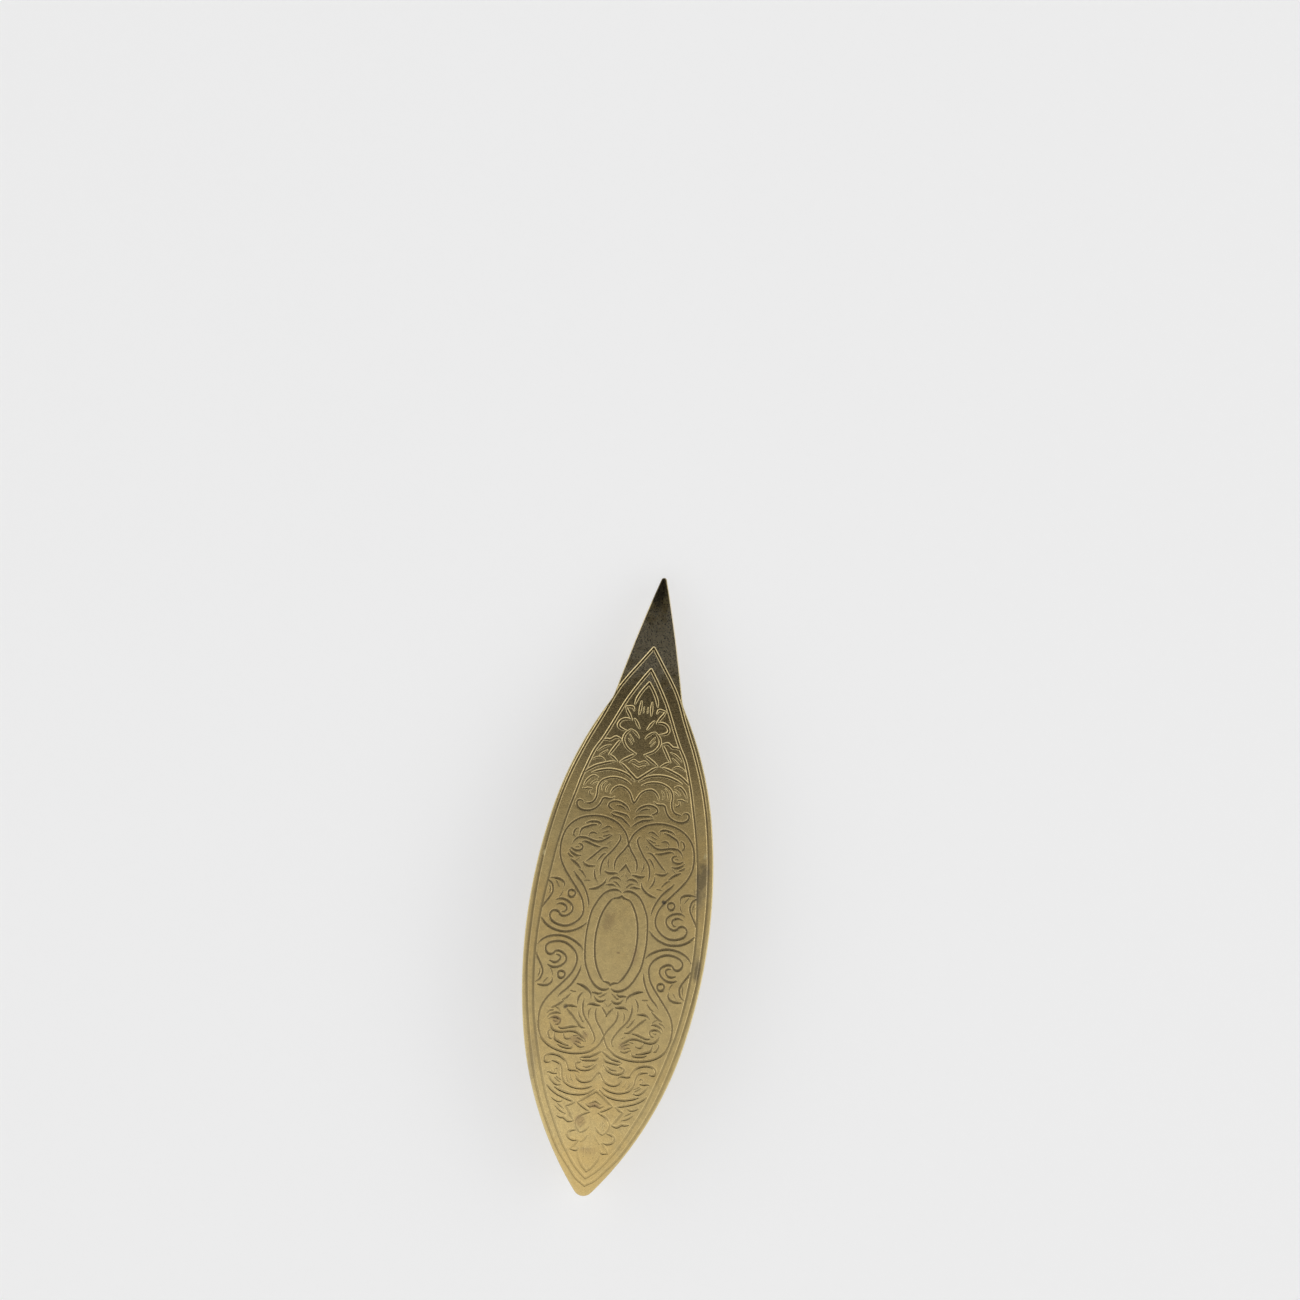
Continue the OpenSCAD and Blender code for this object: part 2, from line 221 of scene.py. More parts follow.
fineStrokes = [
    # oval band
    [1.05, 5.95, 0.6, 6.02, 0.3, 6.12, 0, 6.35],
    [0.15, 6.85, 0.55, 7.08, 1.2, 7.12, 1.9, 6.85, 2.55, 6.35, 3.1, 5.6, 3.5, 4.8, 3.85, 4, 4.05, 3.2,
     4.2, 2, 4.3, 0.8, 4.32, 0],
    # side scroll
    [4.5, 1.92, 4.85, 1.5, 5.25, 1.17, 5.8, 0.82, 6.35, 0.58, 7, 0.38, 7.7, 0.3, 8.3, 0.34, 8.9, 0.45,
     9.45, 0.63, 9.95, 0.9, 10.45, 1.3, 10.9, 1.85],
    [9.2, 4.62, 8.6, 4.87, 7.85, 4.82, 7.15, 4.45, 6.7, 3.85, 6.75, 3.22, 7.25, 2.7, 7.9, 2.48,
     8.35, 2.65, 8.6, 2.98, 9, 3.14, 9.4, 3.03, 9.75, 2.6, 9.75, 2.1, 9.48, 1.7, 9, 1.4, 8.3, 1.17,
     7.5, 1.13, 6.75, 1.35, 6.05, 1.8, 5.5, 2.4, 5.2, 3.05, 5.15, 3.7, 5.3, 4.5, 5.58, 5.25, 6.2, 6.2,
     6.82, 6.98, 7.4, 7.68, 8.05, 8.48, 8.65, 9.3, 9.12, 10.15, 9.42, 11, 9.53, 12, 9.5, 12.8, 9.38, 13.6,
     9.15, 14.4, 8.82, 15.03, 8.38, 15.6, 7.75, 16.17, 7, 16.63, 6.15, 16.93, 5.3, 17.1, 4.3, 17.15,
     3.5, 17.05, 2.7, 16.85, 2.1, 16.6, 1.45, 16.15, 1, 15.7, 0.65, 15.3, 0.42, 14.9, 0.2, 14.35,
     0, 13.75],
    [4.45, 4.2, 4.6, 5, 4.88, 5.8, 5.3, 6.65, 5.7, 7.28, 6.2, 7.87, 6.75, 8.4, 7.15, 8.95],
    [9, 4.02, 8.3, 4.2, 7.78, 4, 7.52, 3.52, 7.75, 3.12, 8.15, 3.05],
    # side leaf
    [11, 3.2, 10.75, 3.8, 10.4, 4.4, 10, 5.1, 9.8, 5.7, 9.85, 6.3, 10.1, 6.9, 10.55, 7.25],
    [8.35, 6.45, 8.3, 6.95, 8.55, 7.35, 9, 7.58, 9.6, 7.66, 10.3, 7.62],
    # heart
    [0, 13.7, 0.5, 12.8, 0.95, 12.2, 1.3, 11.67, 1.53, 11.1, 1.6, 10.5, 1.52, 9.95],
    [1.5, 14.98, 1.28, 14.75, 1.22, 14.3, 1.45, 13.65, 1.9, 12.9, 2.3, 12.3, 2.7, 11.82, 3.05, 11.35,
     3.3, 10.85, 3.45, 10.2, 3.5, 9.5, 3.42, 8.85],
    [4.3, 9.6, 4.28, 8.95, 4.05, 8.35, 3.7, 7.9],
    [0, 10.75, 0.3, 10.3, 0.6, 9.9, 0.85, 9.6],
    # crown leaves
    [0.4, 8.55, 0.85, 8.8, 1.4, 8.82, 1.8, 8.6, 2.08, 8.24],
    [1.05, 7.6, 1.45, 7.78, 1.95, 7.72, 2.42, 7.7],
    # tongue leaf
    [2.83, 12.88, 3.26, 12.83, 3.64, 12.6, 4, 12.22, 4.5, 11.68, 5, 11.15, 5.35, 10.83, 5.65, 10.55],
    [4.3, 10.07, 4.8, 10, 5.25, 9.97, 5.75, 10.15, 6.1, 10.45],
    [3.07, 12.05, 3.3, 11.95, 3.6, 11.55, 3.88, 11.12, 4.05, 10.8],
    # loop leaves
    [6.5, 11.3, 7, 11.22, 7.5, 11.38, 7.95, 11.65, 8.2, 11.95],
    [7, 12.93, 6.62, 12.85, 6.4, 12.55, 6.45, 12.2, 6.78, 11.97, 7.2, 11.9, 7.65, 12.02, 8, 12.25],
    [2.45, 14.74, 2.72, 14.45, 3.07, 14.17, 3.45, 13.9, 3.83, 13.68, 4.3, 13.57, 4.88, 13.6, 5.35, 13.7,
     5.75, 13.82, 6.2, 13.88, 6.7, 13.88, 7.07, 13.8, 7.4, 13.55, 7.68, 13.2, 7.85, 12.85],
    [3.9, 12.85, 4.6, 12.92, 5.2, 13.1, 5.7, 13.28, 6.2, 13.35, 6.55, 13.22],
    [4.32, 15.68, 4.2, 15.95, 4.45, 16.23, 4.9, 16.33, 5.4, 16.28, 5.95, 16.14, 6.35, 15.9],
    [7.3, 15.08, 7.6, 14.95, 7.85, 14.55, 7.9, 14.1, 7.62, 13.83],
    # leaf pair
    [0.45, 18.35, 0.85, 18.88, 1.35, 19.25, 1.95, 19.48, 2.5, 19.53, 3.05, 19.38, 3.42, 19.08, 3.5, 18.75,
     3.2, 18.47, 2.75, 18.3],
    [0.3, 17.3, 0.75, 17.7, 1.35, 17.85, 1.9, 17.92, 2.4, 18, 2.85, 17.95],
    [0.1, 16.2, 0.6, 16.6, 1.1, 17, 1.6, 17.28, 2.2, 17.4, 2.7, 17.52, 3, 17.72],
    # inner arches
    [0, 19.6, 0.2, 19.8, 0.45, 20.35, 0.75, 20.9, 1.2, 21.35, 1.75, 21.62, 2.3, 21.7, 2.75, 21.52,
     3.1, 21.2, 3.32, 20.85, 3.45, 20.45],
    [0.8, 22.15, 1.3, 22.42, 2, 22.68, 2.8, 22.8, 3.55, 22.75, 4.15, 22.56, 4.65, 22.3, 5.02, 21.95,
     5.25, 21.5, 5.35, 20.95, 5.33, 20.35, 5.4, 19.75, 5.62, 19.2, 5.97, 18.87, 6.4, 18.75, 6.85, 18.7],
    # side curl
    [2.85, 20.1, 3.1, 19.84, 3.6, 19.75, 4.08, 19.8, 4.42, 19.65, 4.6, 19.2, 4.84, 18.7, 5.22, 18.23,
     5.7, 17.92, 6.3, 17.72, 6.9, 17.67, 7.5, 17.82, 7.93, 18.2, 8.03, 18.65, 7.85, 18.97, 7.5, 19.06,
     7.15, 18.92],
    [5.5, 22.55, 5.92, 22.68, 6.33, 22.58, 6.75, 22.22, 7.1, 21.75, 7.35, 21.2],
    [6.1, 20.8, 6.7, 20.8, 7.15, 20.68, 7.45, 20.75],
    # vase
    [1.75, 29.85, 2.2, 29.42, 2.52, 28.95, 2.62, 28.5, 2.55, 28.05, 2.2, 27.45, 1.8, 27.05, 1.35, 26.8,
     0.95, 26.63, 0.6, 26.5],
    [1.75, 29.85, 1.4, 29.72, 1.1, 29.5, 0.75, 29.2, 0.45, 28.8],
    # crown
    [0.75, 34, 0.8, 33, 0.85, 32.1],
]

# Short light cuts inside the leaves
veinStrokes = [
    # side leaf
    [9.5, 7.3, 9.2, 6.85, 8.95, 6.5],
    [8.35, 6, 8.5, 5.5, 8.75, 5.1],
    [10.35, 6.5, 10.2, 6, 10.25, 5.4],
    # heart
    [2.5, 11.4, 2.55, 10.9, 2.5, 10.4, 2.3, 10.05],
    [0.1, 9.45, 0.35, 9.12, 0.5, 8.95],
    [0.4, 7.62, 0.8, 7.93, 1.15, 8.2, 1.42, 8.2],
    # bud leaf
    [4.75, 7.92, 5.1, 7.93, 5.5, 7.85],
    [5.4, 8.3, 5.75, 8.75, 6.1, 9.1, 6.5, 9.3],
    [6.6, 11, 6.85, 10.7, 7.15, 10.5],
    # loop leaves
    [6.85, 12.42, 7.1, 12.5, 7.35, 12.42],
    [2.5, 13.8, 2.75, 13.6, 3, 13.38],
    [2.6, 15.7, 3.05, 15.85, 3.4, 15.75, 3.75, 15.5, 4.05, 15.35],
    [3.05, 15.26, 3.5, 15.02, 3.87, 14.93],
    [2.7, 14.82, 3.05, 14.62, 3.4, 14.47, 3.75, 14.42],
    [3.7, 14.07, 4, 14.13, 4.3, 14.17],
    [4.6, 14.6, 4.97, 14.73, 5.3, 14.73, 5.6, 14.5, 5.72, 14.2, 5.65, 13.98],
    # leaf pair
    [0.9, 18.4, 1.35, 18.75, 1.85, 18.96, 2.4, 18.97],
    # inner arches
    [3.7, 21.75, 3.98, 21.4, 4.12, 21, 4.05, 20.6],
    [4.2, 22.1, 4.55, 21.7, 4.72, 21.25, 4.75, 20.75],
    [5.6, 22.2, 6, 21.9, 6.4, 21.5],
    [5.45, 21.85, 5.85, 21.57, 6.15, 21.35],
    [6.3, 20.65, 6.48, 20.3, 6.3, 19.95, 6.02, 19.88, 5.92, 20.1],
    # star leaves
    [0, 25.2, 0.35, 25.37, 0.7, 25.55, 1.1, 25.4, 1.4, 25.15],
    [0, 24.5, 0.45, 24.75, 0.9, 25],
    [4.3, 27.3, 4.9, 27.05, 5.5, 26.65, 6, 26.2],
    [4.67, 26.5, 5.17, 26.1, 5.67, 25.75],
    [4.8, 24.98, 5.2, 25.27, 5.6, 25.38, 6.2, 25.2, 6.7, 24.9],
    # vase
    [1.8, 29.1, 1.5, 28.65, 1.15, 28.2],
    [1.9, 28.5, 1.65, 28.15, 1.35, 27.8],
    [0.28, 33.2, 0.28, 32.4],
]

closedStrokes = [
    # berry
    [7.1, 6.3, 7.46, 6.14, 7.6, 5.8, 7.46, 5.44, 7.1, 5.28, 6.74, 5.44, 6.6, 5.8, 6.74, 6.14],
]

# The double border, which rises to a peak towards each end of the leaf
pointBorders = [
    [0, 38.6, 0.9, 37.25, 1.85, 35.7, 2.85, 33.9, 3.72, 32, 4.6, 30, 5.45, 28.2, 6.5, 26.3, 7.3, 24,
     7.85, 22.2, 8.4, 20, 8.9, 18, 9.35, 16, 9.75, 14, 10.05, 12.3, 10.45, 9, 10.8, 6, 11.1, 3, 11.25, 0],
    [0, 41.7, 1, 40.25, 2, 38.8, 3, 37.35, 4, 35.75, 4.75, 34.2, 5.65, 32, 6.55, 30, 7.45, 28, 8.25, 26,
     9, 24, 9.65, 22, 10.2, 20, 10.65, 18, 11.2, 15, 11.75, 11, 12.1, 7, 12.25, 3, 12.26, 0],
]
bluntBorders = [
    [0, 34.3, 1, 33.45, 2, 32.4, 3.2, 30.7, 4, 29.5, 4.6, 28.35, 5.55, 26.4, 7, 23.2, 8.4, 19, 9.5, 15,
     10.15, 12.3, 10.6, 9.5, 10.95, 6.5, 11.2, 3, 11.25, 0],
    [0, 35.4, 1.3, 34.5, 2.6, 32.95, 4.15, 31, 5.35, 29, 7.35, 25, 8.87, 21, 10, 17, 10.9, 13, 11.6, 9,
     12.1, 5, 12.26, 1, 12.26, 0],
]

# The half towards the blunt tip is shorter: where places along the other half come to lie on it,
# and the share of their distance across that is left
shortHalf = {
    "from": (0, 14.9, 17.1, 19.6, 21.8, 22.8, 24, 25.2, 26.7, 28.5, 30.4, 32.6, 35.8, 36.9),
    "to": (0, 14.9, 16.65, 18.95, 20.65, 21.55, 22.6, 23.65, 24.9, 26.45, 28.35, 30.1, 32.7, 33.4),
    "across": (1, 1, 1, 0.99, 0.96, 0.94, 0.94, 0.93, 0.93, 0.93, 0.94, 0.95, 0.95, 0.95),
}


def smoothCurve(points, closed=False):
    # a smooth curve through the points
    places = np.array(points, float).reshape(-1, 2)
    if closed:
        places = np.vstack([places[-1], places, places[:2]])
    steps = np.maximum(np.linalg.norm(np.diff(places, axis=0), axis=1), 1e-6) ** 0.5
    at = np.concatenate([[0], np.cumsum(steps)])
    if len(places) > 2:
        lean = np.gradient(places, at, axis=0)
    else:
        lean = np.repeat(np.diff(places, axis=0) / steps[0], 2, 0)
    share = np.linspace(0, 1, engraving["spanPieces"], endpoint=False)[:, None]
    square, cube = share ** 2, share ** 3
    first, last = (1, len(places) - 2) if closed else (0, len(places) - 1)
    curve = []
    for i in range(first, last):
        a, b = places[i], places[i + 1]
        leanA, leanB = lean[i] * steps[i], lean[i + 1] * steps[i]
        curve.append(a * (2 * cube - 3 * square + 1) + leanA * (cube - 2 * square + share)
                     + b * (3 * square - 2 * cube) + leanB * (cube - square))
    curve.append(places[last][None, :])
    return np.vstack(curve)


def resampled(curve, step, turn):
    # places along a polyline, closer together where it turns
    spans = np.diff(curve, axis=0)
    lengths = np.linalg.norm(spans, axis=1)
    heading = np.unwrap(np.arctan2(spans[:, 1], spans[:, 0]))
    bend = np.abs(np.diff(heading, prepend=heading[0])) + np.abs(np.diff(heading, append=heading[-1]))
    cost = np.concatenate([[0], np.cumsum(lengths / step + bend / 2 / math.radians(turn))])
    count = max(2, int(math.ceil(cost[-1])) + 1)
    wanted = np.linspace(0, cost[-1], count)
    return np.stack([np.interp(wanted, cost, curve[:, k]) for k in (0, 1)], axis=1)


def makeStroke(points, width, mirror, tapered=True):
    # one groove in plan: its line, its half width along the line, and how deep it is
    cut = engraving
    skew = (points[:, 0] - cut["middle"]) * cut["skew"]
    plan = np.stack([points[:, 0], points[:, 1] * mirror + skew], axis=1)
    line = resampled(plan, cut["step"], cut["turn"])
    along = np.concatenate([[0], np.cumsum(np.linalg.norm(np.diff(line, axis=0), axis=1))])
    share = np.ones(len(line))
    for end, distance in ((0, along), (-1, along[-1] - along)):
        offAxis = min(abs(points[end][1]), abs(points[end][0] - cut["middle"]))
        if tapered and offAxis >= cut["onAxis"]:
            share *= cut["endWidth"] + (1 - cut["endWidth"]) * np.clip(distance / cut["endTaper"], 0, 1)
    depth = cut["depth"] * math.sqrt(width / cut["boldWidth"])
    return {"line": line, "half": width / 2 * share, "depth": depth * share}


def layOut(side, stretch):
    # all grooves of one half of a blade; side is 1 towards the point, -1 towards the blunt tip
    cut = engraving
    shortened = side < 0 or stretch != 1
    borders = bluntBorders if shortened else pointBorders
    strokes = []

    def add(points, width, closed=False, squeezed=True):
        curve = smoothCurve(points, closed)
        across, along = curve[:, 0], curve[:, 1]
        if shortened and squeezed:
            across = across * np.interp(along, shortHalf["from"], shortHalf["across"])
            along = np.interp(along, shortHalf["from"], shortHalf["to"])
        plan = np.stack([cut["middle"] + side * stretch * along, across], axis=1)
        for mirror in (1, -1):
            strokes.append(makeStroke(plan, width, mirror, tapered=not closed))

    for table, width in ((boldStrokes, "boldWidth"), (fineStrokes, "fineWidth"), (veinStrokes, "veinWidth")):
        for points in table:
            add(points, cut[width])
    for points in closedStrokes:
        add(points, cut["fineWidth"], closed=True)
    ornament = len(strokes)
    for points in borders:
        add(points, cut["boldWidth"], squeezed=False)
    for faded, kind in ((strokes[:ornament], "soft"), (strokes[ornament:], "worn")):
        for stroke in faded:
            share = np.interp(stroke["line"][:, 0], cut[kind + "From"], (cut[kind + "Depth"], 1))
            stroke["depth"] = stroke["depth"] * share
    return strokes


def grooveAt(places, strokes):
    # depth of the engraving at each place, and the way it deepens
    depth = np.zeros(len(places))
    slope = np.zeros((len(places), 2))
    flat = engraving["flat"]
    for stroke in strokes:
        line, half = stroke["line"], stroke["half"]
        reach = half.max()
        low, high = line.min(axis=0) - reach, line.max(axis=0) + reach
        near = np.nonzero(((places > low) & (places < high)).all(axis=1))[0]
        if not len(near):
            continue
        start, span = line[:-1], np.diff(line, axis=0)
        away = places[near][:, None, :] - start[None, :, :]
        share = np.clip((away * span).sum(2) / (span ** 2).sum(1), 0, 1)
        gap = away - share[:, :, None] * span
        distance = np.linalg.norm(gap, axis=2)
        best = distance.argmin(axis=1)
        row = np.arange(len(near))
        distance, gap, share = distance[row, best], gap[row, best], share[row, best]
        width = half[best] * (1 - share) + half[best + 1] * share
        full = stroke["depth"][best] * (1 - share) + stroke["depth"][best + 1] * share
        t = np.clip((distance / width - flat) / (1 - flat), 0, 1)
        here = full * (1 - t * t * (3 - 2 * t))
        rise = full * 6 * t * (1 - t) / ((1 - flat) * width)
        deeper = here > depth[near]
        chosen = near[deeper]
        depth[chosen] = here[deeper]
        outward = gap[deeper] / np.maximum(distance[deeper], 1e-9)[:, None]
        slope[chosen] = outward * rise[deeper][:, None]
    return depth, slope


def strokePlaces(strokes):
    # mesh points in rows along every groove, with a fan round each end
    rows = []
    for offset in engraving["rows"]:
        for stroke in strokes:
            line, half = stroke["line"], stroke["half"]
            along = np.gradient(line, axis=0)
            along /= np.maximum(np.linalg.norm(along, axis=1), 1e-9)[:, None]
            side = np.stack([-along[:, 1], along[:, 0]], axis=1) * (half * offset)[:, None]
            rows.append(line + side)
            rows.append(line - side)
            for end, sign in ((0, -1), (-1, 1)):
                for angle in engraving["fan"]:
                    turn = Matrix.Rotation(math.radians(angle), 2)
                    ahead = np.array(turn @ Vector(along[end])) * sign * half[end] * offset
                    rows.append((line[end] + ahead)[None, :])
    return np.vstack(rows)


def thinned(places, cell):
    # drops every point that shares a small cell with an earlier one
    keys = np.round(places / cell).astype(np.int64)
    _, first = np.unique(keys, axis=0, return_index=True)
    return places[np.sort(first)]


def gridPlaces(step, inset, start, end, halfWidthAt):
    # a staggered grid inside the outline
    rowStep = step * math.sqrt(3) / 2
    rowCount = math.floor(bladeForm["halfWidth"] / rowStep)
    across = np.arange(-rowCount, rowCount + 1)
    along = np.arange(math.floor(start / step), math.ceil(end / step) + 1)
    i, j = np.meshgrid(along, across, indexing="ij")
    places = np.stack([((i + 0.5 * (j % 2)) * step).ravel(), (j * rowStep).ravel()], axis=1)
    return withinOutline(places, inset, start, end, halfWidthAt)


def withinOutline(places, inset, start, end, halfWidthAt):
    x, y = places[:, 0], places[:, 1]
    room = halfWidthAt(np.clip(x, start, end)) - np.abs(y) - inset
    slack = inset * bladeForm["endSlack"]
    inside = (room > 0) & (x > start + slack) & (x < end - slack)
    return places[inside]


def bladeOutline(start, end, halfWidthAt):
    # outline points and their outward directions, anticlockwise
    turn = np.linspace(0, math.pi, bladeForm["edgeSamples"])
    x = (start + end) / 2 - (end - start) / 2 * np.cos(turn)
    half = halfWidthAt(x)
    half[0] = half[-1] = 0
    side = resampled(np.stack([x, -half], axis=1), bladeForm["edgeStep"], bladeForm["edgeTurn"])
    outline = np.vstack([side, (side * [1, -1])[-2:0:-1]])
    ahead = np.roll(outline, -1, axis=0) - np.roll(outline, 1, axis=0)
    ahead /= np.linalg.norm(ahead, axis=1)[:, None]
    return outline, np.stack([ahead[:, 1], -ahead[:, 0]], axis=1)


def filled(ring, inner):
    # triangles over the ring's inside, through all the inner points
    points = [Vector(p) for p in np.vstack([ring, inner])]
    loop = list(range(len(ring)))
    edges = [(i, (i + 1) % len(ring)) for i in loop]
    insideOnly, nearness = 1, 1e-6
    coords, _, faces, *_ = delaunay_2d_cdt(points, edges, [loop], insideOnly, nearness)
    return np.array([tuple(c) for c in coords]), [tuple(f) for f in faces]


def upwardNormals(slope):
    # square to a surface of this slope
    return np.column_stack([-slope, np.ones(len(slope))])


def buildBlade(name, span, strokes, flip):
    # span says from where to where the blade runs, and its half width between them
    form = bladeForm
    outline, outward = bladeOutline(*span)
    count = len(outline)
    vertices, normals, engraved, worn = [], [], [], []

    def addLayer(plan, height, leaning, cut, wearAndHighlight):
        vertices.append(np.column_stack([plan, height]))
        normals.append(leaning)
        engraved.append(cut + np.zeros(len(plan)))
        worn.append(wearAndHighlight + np.zeros(len(plan)))

    # outside face: every groove, with a plain grid between
    rows = thinned(strokePlaces(strokes), engraving["rowGap"])
    rows = withinOutline(rows, form["rowInset"], *span)
    grid = gridPlaces(form["gridStep"], form["gridInset"], *span)
    rowCells, gridCells = (np.round(spots / form["gridCell"]).astype(int) for spots in (rows, grid))
    taken = {tuple(cell) for cell in rowCells}
    grid = np.array([spot for spot, cell in zip(grid, gridCells) if tuple(cell) not in taken])
    places, faces = filled(outline - outward * form["edgeRound"], np.vstack([rows, grid]))
    depth, grooveSlope = grooveAt(places, strokes)
    slope = formSlope(*places.T, form["sheet"]) + grooveSlope
    wearAndHighlight = np.where(np.arange(len(places)) < count, form["edgeStartWearAndHighlight"], 0)
    addLayer(places, formHeight(*places.T, form["sheet"]) - depth, upwardNormals(slope),
             depth / engraving["depth"], wearAndHighlight)

    # the sheet's edge, from the outside round to the inside
    for lift, radius, side, angles in (
            (form["sheet"], form["edgeRound"], 1, (60, 30, 0)), (0, form["backEdgeRound"], -1, (0, 45))):
        for angle in map(math.radians, angles):
            up = side * math.sin(angle)
            ring = outline - outward * (radius * (1 - math.cos(angle)))
            height = formHeight(*ring.T, lift) - side * radius * (1 - math.sin(angle))
            sideways = np.column_stack([outward, np.zeros(count)])
            leaning = upwardNormals(formSlope(*ring.T, lift)) * up + sideways * math.cos(angle)
            addLayer(ring, height, leaning, 0, form["edgeRoundWearAndHighlight"] if up > 0 else form["edgeRestWearAndHighlight"])

    # inside face
    inner = gridPlaces(form["insideStep"], form["insideInset"], *span)
    under, underFaces = filled(outline - outward * form["backEdgeRound"], inner)
    addLayer(under, formHeight(*under.T, 0), -upwardNormals(formSlope(*under.T, 0)), 0, 0)

    allFaces = list(faces)
    starts = np.cumsum([0] + [len(layer) for layer in vertices[:-1]]).tolist()
    for upper, lower in zip(starts, starts[1:]):
        for i in range(count):
            j = (i + 1) % count
            allFaces.append((upper + i, lower + i, lower + j, upper + j))
    allFaces += [tuple(starts[-1] + v for v in reversed(face)) for face in underFaces]

    vertices = np.vstack(vertices) * mm
    normals = np.vstack(normals)
    if flip:
        vertices[:, 2] *= -1
        normals[:, 2] *= -1
        allFaces = [tuple(reversed(face)) for face in allFaces]
    normals /= np.linalg.norm(normals, axis=1)[:, None]

    mesh = bpy.data.meshes.new(name)
    mesh.from_pydata(vertices.tolist(), [], allFaces)
    mesh.validate()
    mesh.shade_smooth()
    mesh.normals_split_custom_set_from_vertices(normals.tolist())
    for label, values in (("engraved", engraved), ("worn", worn)):
        layer = mesh.attributes.new(label, "FLOAT", "POINT")
        layer.data.foreach_set("value", np.concatenate(values).astype(np.float32))
    print(name, "built with", len(mesh.vertices), "points and", len(mesh.polygons), "faces")
    return placed(name, mesh)


frontStrokes = layOut(1, 1) + layOut(-1, 1)
backStrokes = layOut(1, engraving["backStretch"]) + layOut(-1, 1)
leafHalf = bladeForm["leafHalf"]
frontSpan = (-leafHalf, bladeForm["pointTip"], frontHalfWidth)
backSpan = (-leafHalf, leafHalf, leafHalfWidth)
frontBlade = buildBlade("engraved_front_blade", frontSpan, frontStrokes, flip=False)
backBlade = buildBlade("engraved_back_blade", backSpan, backStrokes, flip=True)


# The post, cut from drawn bar, with its ends chamfered and its thread hole deburred
postForm = {
    "halfLength": postHigh.x,
    "halfWidth": postHigh.y,
    "top": postHigh.z,
    "chamfer": 0.15,
    "hole": 0.8,           # radius
    "deburr": 0.14,
    "chamferSoft": 0.3,    # share of the chamfer where its slope changes
    "overrun": 1,          # how far the drill runs past the faces
    "around": 96,
    "holeAround": 64,
    "sharpFrom": 28,       # degrees from which an edge is shaded sharp
}


def postOutline(count):
    # places round the post's section and their outward directions, anticlockwise
    radius = postForm["halfWidth"]
    straight = postForm["halfLength"] - radius
    half = count // 2
    places, outward = [], []
    for k in range(count):
        turn = math.pi * ((k % half) / (half - 1) - 0.5) + (math.pi if k >= half else 0)
        out = Vector((math.cos(turn), math.sin(turn)))
        places.append(Vector((straight if k < half else -straight, 0)) + out * radius)
        outward.append(out)
    return places, outward


def meshObject(name, build):
    # an object from the bmesh that build fills in
    made = bmesh.new()
    build(made)
    bmesh.ops.recalc_face_normals(made, faces=made.faces)
    data = bpy.data.meshes.new(name)
    made.to_mesh(data)
    made.free()
    return placed(name, data)


def joinRings(made, rings, closed=False):
    pairs = list(zip(rings, rings[1:])) + ([(rings[-1], rings[0])] if closed else [])
    for lower, upper in pairs:
        for k in range(len(lower)):
            n = (k + 1) % len(lower)
            made.faces.new((lower[k], lower[n], upper[n], upper[k]))


def postBody(made):
    form = postForm
    places, outward = postOutline(form["around"])
    top, chamfer = form["top"], form["chamfer"]
    soft = chamfer * form["chamferSoft"]
    levels = ((-top, chamfer), (-top + soft, soft), (-top + chamfer, 0),
              (top - chamfer, 0), (top - soft, soft), (top, chamfer))
    rings = [[made.verts.new((*((p - out * inset) * mm), z * mm)) for p, out in zip(places, outward)]
             for z, inset in levels]
    joinRings(made, rings)
    made.faces.new(rings[0][::-1])
    made.faces.new(rings[-1])


def holeCutter(made):
    form = postForm
    face, burr, past = form["halfWidth"], form["deburr"], form["overrun"]
    wide = form["hole"] + burr + past
    narrow = form["hole"]
    levels = ((-face - past, wide), (-face + burr, narrow), (face - burr, narrow), (face + past, wide))
    turns = [2 * math.pi * k / form["holeAround"] for k in range(form["holeAround"])]
    rings = [[made.verts.new((radius * math.cos(t) * mm, y * mm, radius * math.sin(t) * mm)) for t in turns]
             for y, radius in levels]
    joinRings(made, rings)
    made.faces.new(rings[0])
    made.faces.new(rings[-1][::-1])


def buildPost():
    body, cutter = meshObject("drilled_post", postBody), meshObject("hole cutter", holeCutter)
    drill = body.modifiers.new("thread hole", "BOOLEAN")
    drill.operation, drill.solver, drill.object = "DIFFERENCE", "EXACT", cutter
    drilled = bpy.data.meshes.new_from_object(body.evaluated_get(bpy.context.evaluated_depsgraph_get()))
    body.modifiers.clear()
    body.data = drilled
    bpy.data.objects.remove(cutter)
    drilled.shade_smooth()
    drilled.set_sharp_from_angle(angle=math.radians(postForm["sharpFrom"]))
    return body


# The solder runs up from the post to the blade in a hollow fillet that is not quite even
solderForm = {
    "size": 0.62,          # reach down the post and out under the blade
    "land": 0.05,          # thickness where it ends on the post
    "waves": ((3, 0.06, 0.4), (7, 0.045, 1.9), (17, 0.02, 0.9)), # times round, share of the size, phase
    "overlap": 0.04,       # how far it reaches into the post
    "around": 144,
    "steps": 8,
    "sharpFrom": 55,
}


